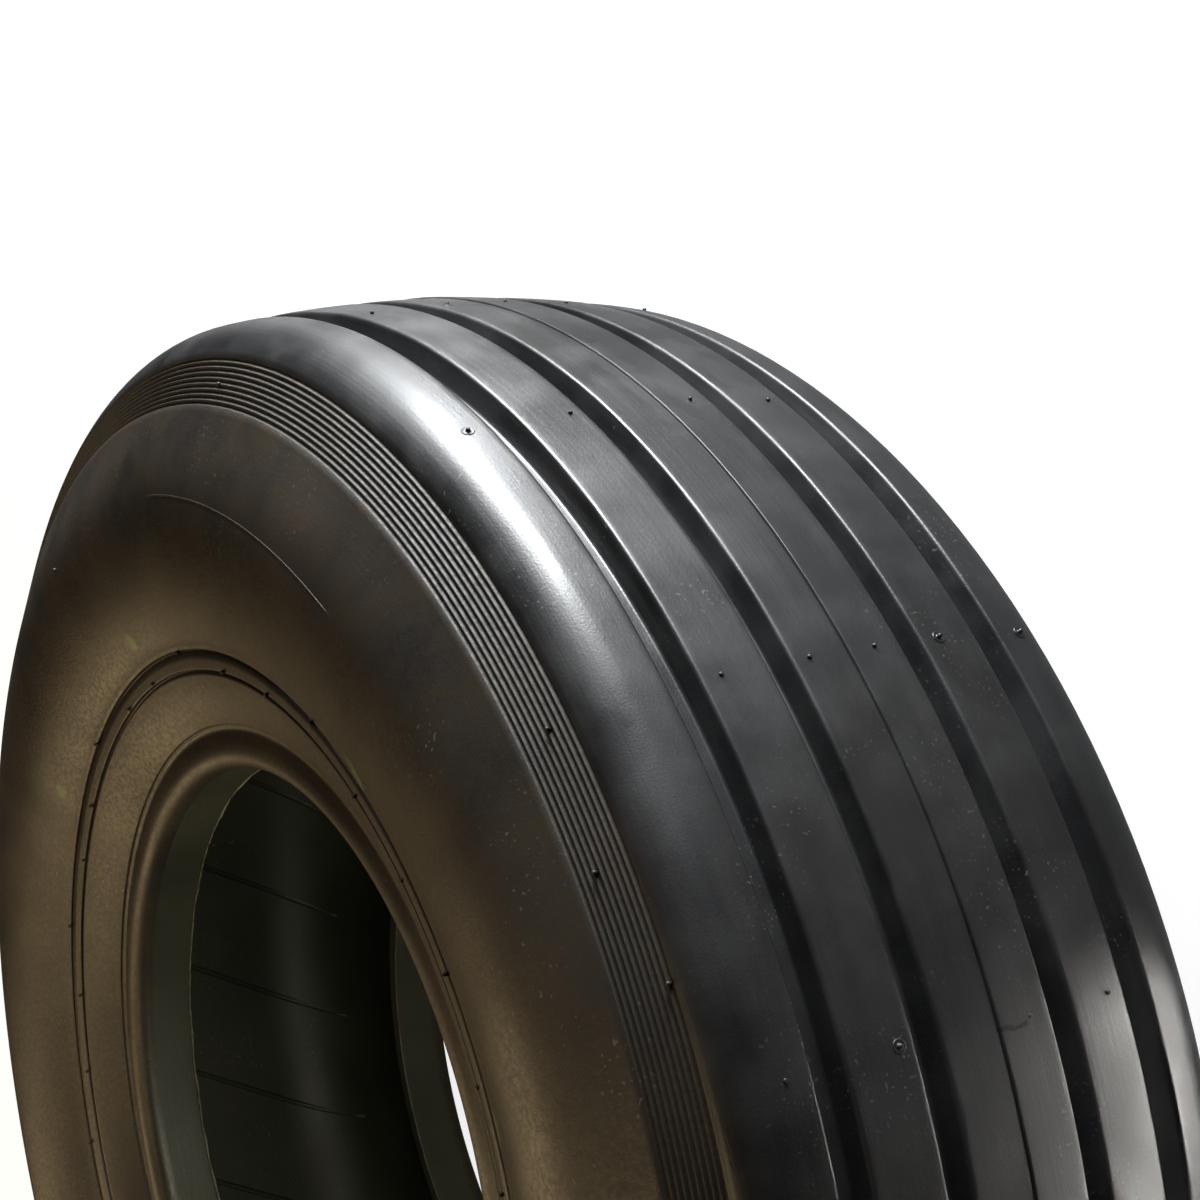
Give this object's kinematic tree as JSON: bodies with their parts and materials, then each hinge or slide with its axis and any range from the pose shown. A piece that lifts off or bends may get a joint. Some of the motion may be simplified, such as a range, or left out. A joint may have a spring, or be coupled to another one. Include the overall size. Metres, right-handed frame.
{
  "type": "aircraft tire",
  "caption": "Hollow black rubber aircraft tire with circumferential tread grooves, finely lined shoulders and a bead at each side.",
  "frame": {"origin": "centre of the tire, on the spin axis in the tread's middle plane", "axes": "+Z along the spin axis, up as the tire lies on its side; +X and +Y across it"},
  "size_m": [0.5359, 0.536, 0.177],
  "materials": {
    "tread_rubber": "satin black moulded rubber"
  },
  "bodies": {
    "root": {"tire": "tread_rubber"}
  },
  "joints": []
}
